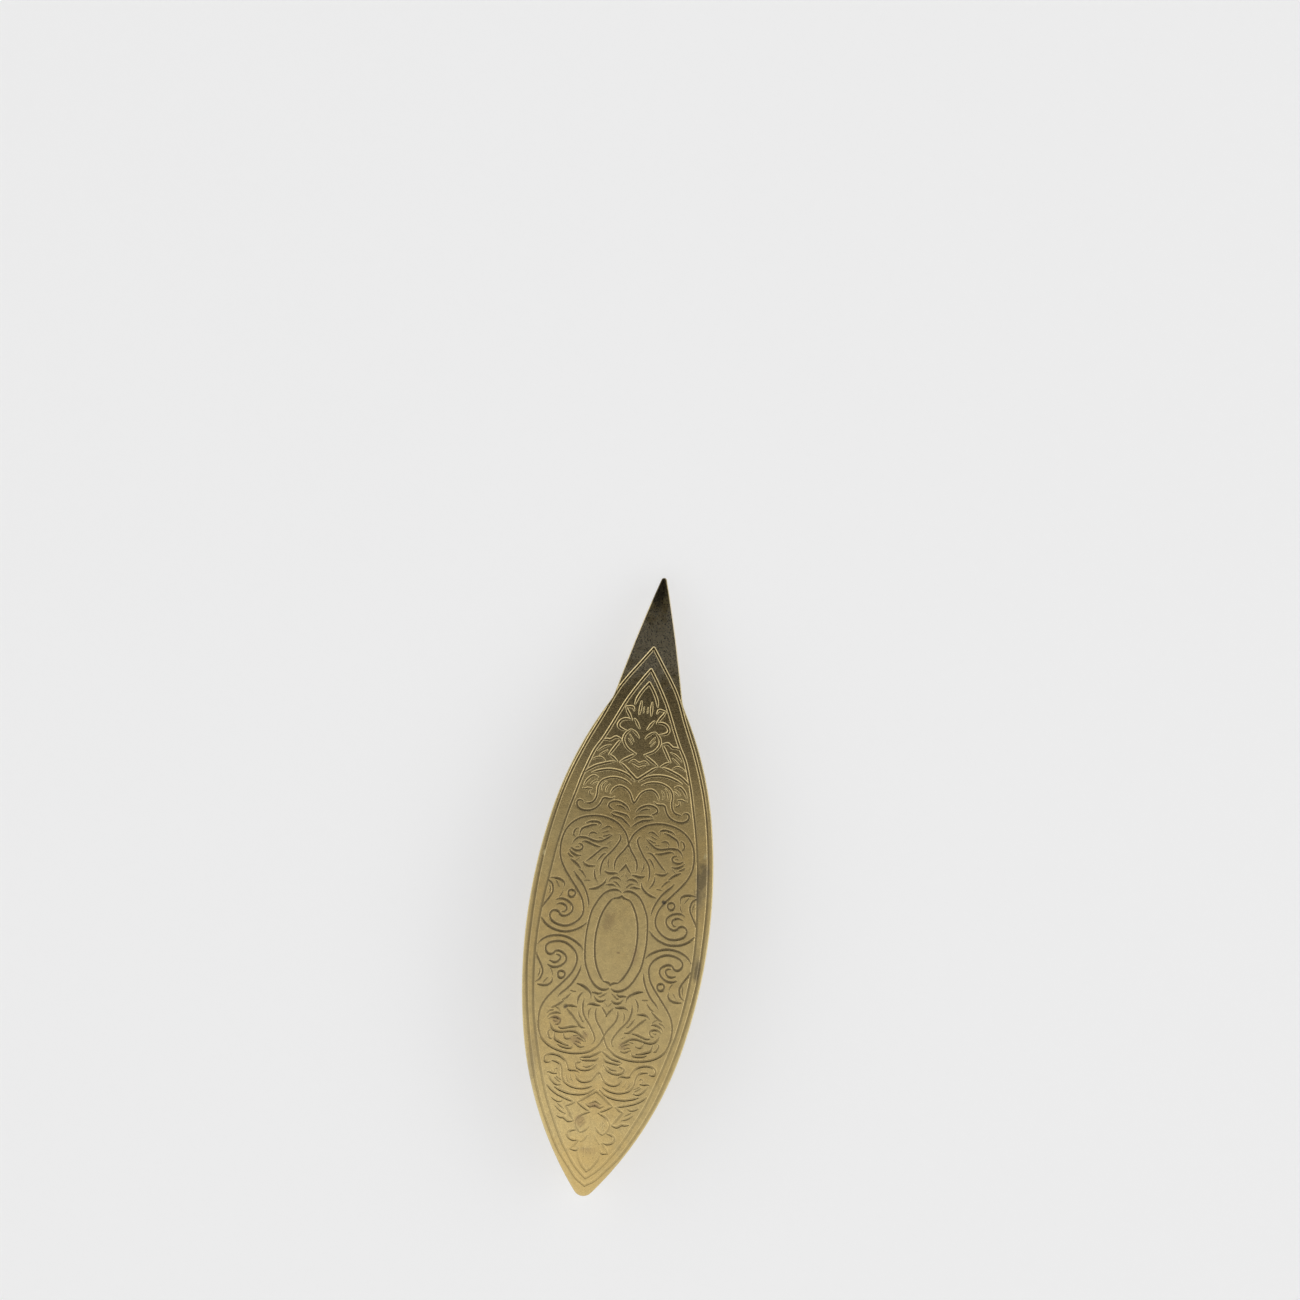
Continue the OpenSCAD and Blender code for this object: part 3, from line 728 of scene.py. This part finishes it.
def buildSolder(name, up):
    form = solderForm
    places, outward = postOutline(form["around"])

    def fillet(made):
        sections = []
        for k, (place, out) in enumerate(zip(places, outward)):
            turn = 2 * math.pi * k / form["around"]
            size = form["size"] * (1 + sum(share * math.sin(times * turn + phase * (2 - up))
                                           for times, share, phase in form["waves"]))
            spots = [(-form["overlap"], postForm["top"] - size)]
            for i in range(form["steps"] + 1):
                bend = math.radians(90 * i / form["steps"])
                height = None if i == form["steps"] else postForm["top"] - size * (1 - math.sin(bend))
                spots.append((size - (size - form["land"]) * math.cos(bend), height))
            spots.append((-form["overlap"], None))
            section = []
            for distance, height in spots:
                spot = place + out * distance
                ceiling = formHeight(spot.x, spot.y, 0)
                z = ceiling if height is None else min(height, ceiling)
                section.append(made.verts.new((spot.x * mm, spot.y * mm, z * up * mm)))
            sections.append(section)
        joinRings(made, sections, closed=True)

    piece = meshObject(name, fillet)
    piece.data.shade_smooth()
    piece.data.set_sharp_from_angle(angle=math.radians(form["sharpFrom"]))
    return piece


post = buildPost()
frontSolder = buildSolder("front_solder_fillet", 1)
backSolder = buildSolder("back_solder_fillet", -1)
print("post and solder built")


# Materials
def setInputs(tree, node, inputs):
    # links a socket and sets a plain value
    for key, value in inputs.items():
        if isinstance(value, bpy.types.NodeSocket):
            tree.links.new(value, node.inputs[key])
        else:
            node.inputs[key].default_value = value


def addNode(tree, kind, inputs=None, **settings):
    node = tree.nodes.new(kind)
    for key, value in settings.items():
        setattr(node, key, value)
    setInputs(tree, node, inputs or {})
    return node


def newGroup(name, outputs):
    # a node group from a place to one number for each output
    tree = bpy.data.node_groups.new(name, "ShaderNodeTree")
    tree.interface.new_socket("Vector", in_out="INPUT", socket_type="NodeSocketVector")
    for label in outputs:
        tree.interface.new_socket(label, in_out="OUTPUT", socket_type="NodeSocketFloat")
    return tree, tree.nodes.new("NodeGroupInput").outputs["Vector"], tree.nodes.new("NodeGroupOutput")


def calc(tree, operation, *values, clamp=False):
    inputs = dict(enumerate(values))
    return addNode(tree, "ShaderNodeMath", inputs, operation=operation, use_clamp=clamp).outputs[0]


def vectorCalc(tree, operation, *values, output="Vector"):
    inputs = dict(enumerate(values))
    return addNode(tree, "ShaderNodeVectorMath", inputs, operation=operation).outputs[output]


def partOf(tree, vector, axis):
    return addNode(tree, "ShaderNodeSeparateXYZ", {0: vector}).outputs[axis]


def bumped(tree, height, distance):
    inputs = {"Height": height, "Strength": 1, "Distance": distance}
    return addNode(tree, "ShaderNodeBump", inputs).outputs["Normal"]


def stepUp(tree, value, low, high):
    # 0 below low, 1 above high, smooth between
    return addNode(tree, "ShaderNodeMapRange", {"Value": value, "From Min": low, "From Max": high},
                   interpolation_type="SMOOTHSTEP").outputs["Result"]


def noiseAt(tree, vector, size, detail, roughness):
    # size is the width of one patch in metres
    inputs = {"Vector": vector, "Scale": 1 / size, "Detail": detail, "Roughness": roughness}
    return addNode(tree, "ShaderNodeTexNoise", inputs).outputs["Fac"]


def ramp(tree, value, low, high, first, last):
    # from first at low to last at high, both in millimetres
    return addNode(tree, "ShaderNodeMapRange", {
        "Value": value, "From Min": low * mm, "From Max": high * mm, "To Min": first, "To Max": last,
    }).outputs["Result"]


def mixColour(tree, factor, a, b):
    # the colour mix node's own sockets come after those of its number and vector forms
    return addNode(tree, "ShaderNodeMix", {0: factor, 6: a, 7: b}, data_type="RGBA").outputs[2]


def newMaterial(name):
    # a material's nodes, its shader and the piece's own coordinates
    material = bpy.data.materials.new(name)
    material.use_nodes = True
    tree = material.node_tree
    coords = addNode(tree, "ShaderNodeTexCoord").outputs["Object"]
    return material, tree, tree.nodes["Principled BSDF"], coords


def placeGroup(tree, group, coords):
    return addNode(tree, "ShaderNodeGroup", {"Vector": coords}, node_tree=group).outputs


# Size of a patch, detail and roughness of each noise, and the steps that turn them into masks
surfaceLook = {
    "fine": (0.22 * mm, 3, 0.65),
    "soft": (0.6 * mm, 2, 0.5),
    "grit": (0.75 * mm, 5, 0.8),
    "broad": (9 * mm, 3, 0.55),
    "mottle": (1.3 * mm, 4, 0.65),
    "fineStep": (0.3, 0.7),
    "gritStep": (0.32, 0.68),
    "broadStep": (0.42, 0.72),
    "mottleStep": (0.35, 0.75),
}

# satin grain of a tumbled sheet: a fine height, a speckle and a coarser grit
satinGrain, vector, outside = newGroup("satin grain", ("Height", "Speckle", "Grit"))
fineNoise = noiseAt(satinGrain, vector, *surfaceLook["fine"])
softNoise = noiseAt(satinGrain, vector, *surfaceLook["soft"])
gritNoise = noiseAt(satinGrain, vector, *surfaceLook["grit"])
setInputs(satinGrain, outside, {
    "Height": calc(satinGrain, "ADD", fineNoise, softNoise),
    "Speckle": stepUp(satinGrain, fineNoise, *surfaceLook["fineStep"]),
    "Grit": stepUp(satinGrain, gritNoise, *surfaceLook["gritStep"]),
})

# uneven tarnish in soft patches of two sizes
tarnish, vector, outside = newGroup("tarnish", ("Broad", "Mottle"))
for label, kind in (("Broad", "broad"), ("Mottle", "mottle")):
    patch = noiseAt(tarnish, vector, *surfaceLook[kind])
    setInputs(tarnish, outside, {label: stepUp(tarnish, patch, *surfaceLook[kind + "Step"])})


def spotMask(tree, vector, place, size, ragged):
    # a soft ragged spot: 1 at its middle, 0 outside; size is its half length each way
    away = vectorCalc(tree, "SUBTRACT", vector, place)
    scaled = vectorCalc(tree, "MULTIPLY", away, [1 / s for s in size])
    far = vectorCalc(tree, "LENGTH", scaled, output="Value")
    return stepUp(tree, calc(tree, "ADD", far, ragged), *brassLook["spotFade"])


brassLook = {
    "clean": (0.67, 0.505, 0.22, 1),
    "warm": (0.65, 0.465, 0.185, 1),
    "tarnished": (0.3, 0.235, 0.12, 1),
    "grooveDirtAndShade": (0.165, 0.125, 0.065, 1),
    "rim": (0.7, 0.58, 0.3, 1),
    "stain": (0.22, 0.14, 0.085, 1),
    "patina": (0.25, 0.205, 0.13, 1),
    "blackStainAndShade": (0.05, 0.045, 0.04, 1),
    "deep": (0.54, 0.385, 0.15, 1),
    "paintedSheen": (0.75, 0.64, 0.42, 1),
    "grainHeight": 0.012 * mm,
    "roughness": 0.25,
    "speckleRoughness": 0.12,
    # how strongly each of these tarnishes the colour; the last brightens the sheet's edge with wear and a
    # painted highlight
    "mottle": 0.22,
    "speckle": 0.16,
    "grit": 0.3,
    "edgeWearAndHighlight": 0.7,
    "shoulderUp": (0, 0.12), # shares of a groove's depth between which its shoulder begins,
    "shoulderDown": (0.3, 0.75), # and between which it ends
    # from and to along the shuttle in millimetres, and the amount at each of the two
    "patinaAndShadeAlong": (19.5, 26, 0, 0.3),
    "shoulderHighlightAlong": (15, 25, 0.15, 0.68),
    "bluntDirtAndShade": (-24, -8, 0.36, 0.9),
    "pointDirtAndShade": (17, 25, 0.9, 0.7),
    "dirtAndShadePower": (17, 25, 0.45, 2.4),
    "spotFade": (1.35, 0.6), # where a spot is gone and where whole, in half sizes
    "spotRagged": 0.6,     # how far the mottle eats into a spot
    "sheenOffCuts": 0.3,      # lower keeps the painted sheen off shallower cuts
}


def brassMaterial(name, stainsAndPaintedLight=()):
    look = brassLook
    material, tree, shader, coords = newMaterial(name)
    grain, patches = placeGroup(tree, satinGrain, coords), placeGroup(tree, tarnish, coords)
    engraved, worn = (addNode(tree, "ShaderNodeAttribute", attribute_name=label).outputs["Fac"]
                      for label in ("engraved", "worn"))
    alongShuttle = partOf(tree, coords, "X")

    def times(a, b):
        return calc(tree, "MULTIPLY", a, b)

    def along(kind):
        return ramp(tree, alongShuttle, *look[kind])

    colour = mixColour(tree, patches["Broad"], look["clean"], look["warm"])
    for mask, kind in ((patches["Mottle"], "mottle"), (grain["Speckle"], "speckle"), (grain["Grit"], "grit")):
        colour = mixColour(tree, times(mask, look[kind]), colour, look["tarnished"])
    # darker towards the point: patina and painted shade
    colour = mixColour(tree, along("patinaAndShadeAlong"), colour, look["patina"])
    # the strokes' shoulders get a painted highlight, most of all towards the point
    shoulderHighlight = calc(tree, "SUBTRACT", stepUp(tree, engraved, *look["shoulderUp"]),
                    stepUp(tree, engraved, *look["shoulderDown"]))
    colour = mixColour(tree, times(shoulderHighlight, along("shoulderHighlightAlong")), colour, look["rim"])
    # dirt and painted shade darken them up to the shoulders, but only their floors towards the point
    keptDirtAndShade = calc(tree, "MINIMUM", along("bluntDirtAndShade"), along("pointDirtAndShade"))
    floorDirtAndShade = calc(tree, "POWER", engraved, along("dirtAndShadePower"))
    colour = mixColour(tree, times(floorDirtAndShade, keptDirtAndShade), colour, look["grooveDirtAndShade"])
    # the sheet's edge is worn bright and also painted with a highlight
    colour = mixColour(tree, times(worn, look["edgeWearAndHighlight"]), colour, look["rim"])
    ragged = times(patches["Mottle"], look["spotRagged"])
    for place, size, strength, kind in stainsAndPaintedLight:
        size = [v * mm for v in (*size, stainUp)]
        spot = times(spotMask(tree, coords, [v * mm for v in place], size, ragged), strength)
        if kind == "paintedSheen": # the painted sheen is kept off the grooves and their edges
            sheenless = calc(tree, "POWER", engraved, look["sheenOffCuts"])
            spot = times(spot, calc(tree, "SUBTRACT", 1, sheenless))
        colour = mixColour(tree, spot, colour, look[kind])
    roughness = calc(tree, "MULTIPLY_ADD", grain["Speckle"], look["speckleRoughness"], look["roughness"])
    setInputs(tree, shader, {"Base Color": colour, "Roughness": roughness, "Metallic": 1,
                             "Normal": bumped(tree, grain["Height"], look["grainHeight"])})
    return material


# Where the front is stained, and where a sheen or shade is painted on it: place, half size along and across,
# strength and colour
stainUp = 9 # half size upwards of every stain and painted patch
frontStainsAndPaintedLight = [
    ((1, 1.5, 4.9), (1.7, 1.1), 0.3, "stain"),
    ((-3.2, -2.9, 4.9), (1.6, 0.6), 0.25, "stain"),
    ((-3.3, -0.5, 4.9), (0.16, 0.34), 0.6, "stain"),
    ((-25.3, 0.1, 3), (0.5, 1.1), 0.5, "stain"),
    ((-27.7, 1.75, 2.7), (1.2, 0.8), 0.45, "stain"),
    ((-31.9, 0.1, 2), (0.6, 1.6), 0.35, "stain"),
    ((-16.3, 3.9, 4), (0.8, 1), 0.4, "stain"),
    ((-15.5, 2.6, 4), (0.6, 0.5), 0.4, "stain"),
    ((-16.4, -2.9, 4), (0.7, 0.7), 0.4, "stain"),
    ((-13.9, 6.9, 4), (0.8, 0.7), 0.4, "stain"),
    ((-11.8, 5.9, 4), (0.4, 0.4), 0.6, "blackStainAndShade"),
    ((-20.5, 9.6, 3), (6.5, 0.9), 0.3, "patina"),
    ((7.8, -11.1, 4), (4.8, 1), 0.45, "patina"),
    ((8.6, -10.9, 4), (3.4, 0.9), 0.4, "blackStainAndShade"),
    ((-3.8, -11.8, 4), (2.2, 0.55), 0.35, "patina"),
    ((-4.5, -11.9, 4), (1.5, 0.5), 0.5, "blackStainAndShade"),
    ((4.6, -5.95, 4.7), (0.35, 0.4), 0.85, "blackStainAndShade"),
    ((11.8, -10.95, 4), (0.5, 0.3), 0.7, "rim"),
    ((9.5, 11.75, 4), (0.6, 0.3), 0.7, "rim"),
    ((-39, 0, 1), (11, 9), 0.55, "deep"),
    # painted sheen over the point, and a painted highlight along its right edge
    ((40.5, 0.2, 2), (6.4, 7), 0.9, "paintedSheen"),
    ((45.2, -1.7, 1), (5.2, 0.8), 0.95, "paintedSheen"),
    # painted shade at the very tip
    ((49, 0.5, 0), (3.9, 1.4), 0.75, "blackStainAndShade"),
]
frontBrass = brassMaterial("struck brass front", frontStainsAndPaintedLight)
backBrass = brassMaterial("struck brass back")

postLook = {
    "brass": (0.64, 0.46, 0.19, 1),
    "dull": (0.42, 0.31, 0.15, 1),
    "lines": (0.12 * mm, 3, 0.6), # width, detail and roughness of the drawn lines
    "lineStretch": 0.04,
    "lineHeight": 0.008 * mm,
    "lineDull": 0.3,
    "fluxReach": (2.2, 0.6), # how far from its end the post begins to be dull, and is wholly so
    "roughness": 0.22,
    "dullRoughness": 0.2,
}


def postMaterial():
    # bright drawn bar: fine lines along its length and dull patches where the flux ran
    look = postLook
    material, tree, shader, coords = newMaterial("drawn brass post")
    stretched = vectorCalc(tree, "MULTIPLY", coords, (1, 1, look["lineStretch"]))
    lines = noiseAt(tree, stretched, *look["lines"])
    patches = placeGroup(tree, tarnish, coords)
    fluxFrom, fluxTo = (postForm["top"] - reach for reach in look["fluxReach"])
    nearEnd = ramp(tree, calc(tree, "ABSOLUTE", partOf(tree, coords, "Z")), fluxFrom, fluxTo, 0, 1)
    dulled = calc(tree, "MULTIPLY", nearEnd, patches["Mottle"])
    dulled = calc(tree, "MAXIMUM", dulled, calc(tree, "MULTIPLY", lines, look["lineDull"]))
    roughness = calc(tree, "MULTIPLY_ADD", dulled, look["dullRoughness"], look["roughness"])
    colour = mixColour(tree, dulled, look["brass"], look["dull"])
    setInputs(tree, shader, {"Base Color": colour, "Roughness": roughness, "Metallic": 1,
                             "Normal": bumped(tree, lines, look["lineHeight"])})
    return material


solderLook = {
    "clean": (0.62, 0.61, 0.58, 1),
    "dull": (0.38, 0.37, 0.34, 1),
    "grainHeight": 0.02 * mm,
    "roughness": 0.42,
}


def solderMaterial():
    look = solderLook
    material, tree, shader, coords = newMaterial("soft solder")
    grain, patches = placeGroup(tree, satinGrain, coords), placeGroup(tree, tarnish, coords)
    setInputs(tree, shader, {"Base Color": mixColour(tree, patches["Mottle"], look["clean"], look["dull"]),
                             "Normal": bumped(tree, grain["Height"], look["grainHeight"]),
                             "Metallic": 1, "Roughness": look["roughness"]})
    return material


postBrass, solder = postMaterial(), solderMaterial()

pieces = (
    (frontBlade, "front_blade", "front_sheet", frontBrass),
    (backBlade, "back_blade", "back_sheet", backBrass),
    (post, "post", "post_brass", postBrass),
    (frontSolder, "front_solder", "solder", solder),
    (backSolder, "back_solder", "solder", solder),
)
for piece, node, slotName, material in pieces:
    piece.data.materials.append(material)
    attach(piece, "root")
    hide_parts(node)
print("materials made")

# Studio: a pale floor that curves up all round, bright walls, a dimmer ceiling with a dark
# shade towards the point, and two soft boxes
studio = {
    "floorRadius": 0.9,
    "wallRadius": 0.35,
    "floorRings": (0.25, 0.6),
    "floorAround": 96,
    "wallSteps": 12,
    "floorColour": (0.9, 0.9, 0.9, 1),
    "cloud": (0.03, 3, 0.5), # size, detail and roughness of the floor's faint clouds
    "cloudShade": 0.985,
    "floorRoughness": 0.8,
    "glowColour": (0.95, 0.95, 0.95, 1),
    "ceiling": 0.68,
    "walls": 1.4,
    "ceilingEdge": (40, 58), # degrees from overhead between which ceiling turns to wall
    "shade": (0.006, 0.008, 0.014, 1),
    "shadeLean": 40,       # degrees from overhead towards the point
    "shadeInner": 19,
    "shadeOuter": 41,
    "shadeBreadth": 1.3,   # how much broader across the shuttle than along it
    "floorGlow": 0.55,     # share of the floor that cameras and mirrors see as a plain glow
}


def buildFloor():
    ground = cadBox[0].z
    flat, bend = studio["floorRadius"], studio["wallRadius"]
    profile = [(radius, 0) for radius in (*studio["floorRings"], flat)]
    for i in range(1, studio["wallSteps"] + 1):
        turn = math.radians(90 * i / studio["wallSteps"])
        profile.append((flat + bend * math.sin(turn), bend * (1 - math.cos(turn))))
    around = studio["floorAround"]
    turns = [2 * math.pi * k / around for k in range(around)]
    made = bmesh.new()
    rings = [[made.verts.new((radius * math.cos(t), radius * math.sin(t), ground + height)) for t in turns]
             for radius, height in profile]
    centre = made.verts.new((0, 0, ground))
    for k in range(around):
        made.faces.new((centre, rings[0][k], rings[0][(k + 1) % around]))
    joinRings(made, rings[::-1])
    data = bpy.data.meshes.new("floor")
    made.to_mesh(data)
    made.free()
    data.shade_smooth()
    floor = placed("floor", data)
    material, tree, shader, coords = newMaterial("pale floor")
    pale = studio["floorColour"]
    clouded = [c * studio["cloudShade"] for c in pale[:3]] + [1]
    colour = mixColour(tree, noiseAt(tree, coords, *studio["cloud"]), pale, clouded)
    setInputs(tree, shader, {"Base Color": colour, "Roughness": studio["floorRoughness"]})
    rays = addNode(tree, "ShaderNodeLightPath").outputs
    seen = calc(tree, "ADD", rays["Is Camera Ray"], rays["Is Glossy Ray"])
    seen = calc(tree, "ADD", seen, rays["Is Transmission Ray"], clamp=True)
    glow = addNode(tree, "ShaderNodeEmission", {"Color": studio["glowColour"], "Strength": 1})
    glowing = calc(tree, "MULTIPLY", seen, studio["floorGlow"])
    blend = addNode(tree, "ShaderNodeMixShader", {0: glowing, 1: shader.outputs[0], 2: glow.outputs[0]})
    tree.links.new(blend.outputs[0], tree.nodes["Material Output"].inputs["Surface"])
    data.materials.append(material)


def buildWorld():
    world = bpy.data.worlds.new("studio")
    bpy.context.scene.world = world
    world.use_nodes = True
    tree = world.node_tree
    direction = addNode(tree, "ShaderNodeTexCoord").outputs["Generated"]
    lean = math.radians(studio["shadeLean"])
    squeezed = vectorCalc(tree, "MULTIPLY", direction, (1, 1 / studio["shadeBreadth"], 1))
    squeezed = vectorCalc(tree, "NORMALIZE", squeezed)
    shadeAxis = (math.sin(lean), 0, math.cos(lean))
    toShade = vectorCalc(tree, "DOT_PRODUCT", squeezed, shadeAxis, output="Value")
    outer, inner, upper, lower = (math.cos(math.radians(edge)) for edge in (
        studio["shadeOuter"], studio["shadeInner"], *studio["ceilingEdge"]))
    shade = stepUp(tree, toShade, outer, inner)
    wall = stepUp(tree, partOf(tree, direction, "Z"), upper, lower)
    ceiling, walls = ((level, level, level, 1) for level in (studio["ceiling"], studio["walls"]))
    colour = mixColour(tree, shade, mixColour(tree, wall, ceiling, walls), studio["shade"])
    tree.links.new(colour, tree.nodes["Background"].inputs["Color"])


def addSoftbox(name, place, size, radiance):
    lamp = bpy.data.lights.new(name, "AREA")
    lamp.shape = "RECTANGLE"
    lamp.size, lamp.size_y = size
    lamp.energy = radiance * math.pi * size[0] * size[1]
    box = placed(name, lamp)
    box.location = place
    box.rotation_euler = (-Vector(place)).to_track_quat("-Z", "Y").to_euler()


buildFloor()
buildWorld()
addSoftbox("key softbox", (-0.62, 0.12, 0.85), (0.5, 0.6), 0.5)
addSoftbox("side softbox", (0.1, -0.95, 0.5), (0.9, 0.4), 0.9)

# Camera straight above, turned so that the shuttle leans to the right
view = {
    "middle": (39.8 * mm, 0.69 * mm),
    "lean": 7.61,
    "frameWidth": 185.4 * mm,
    "distance": 0.7,
    "sensor": 36,
    "nearest": 0.01,
}
camera = bpy.data.cameras.new("camera")
camera.sensor_width = view["sensor"]
camera.lens = view["sensor"] * view["distance"] / view["frameWidth"]
camera.clip_start = view["nearest"]
cameraObject = placed("camera", camera)
lean = math.radians(view["lean"])
rightward = Vector((math.sin(lean), -math.cos(lean), 0))
upward = Vector((math.cos(lean), math.sin(lean), 0))
facing = Matrix((rightward, upward, Vector((0, 0, 1)))).transposed()
cameraObject.matrix_world = Matrix.Translation((*view["middle"], view["distance"])) @ facing.to_4x4()
bpy.context.scene.camera = cameraObject
bpy.context.scene.view_settings.view_transform = "Standard"
print("studio and camera set")

bpy.context.view_layer.update()
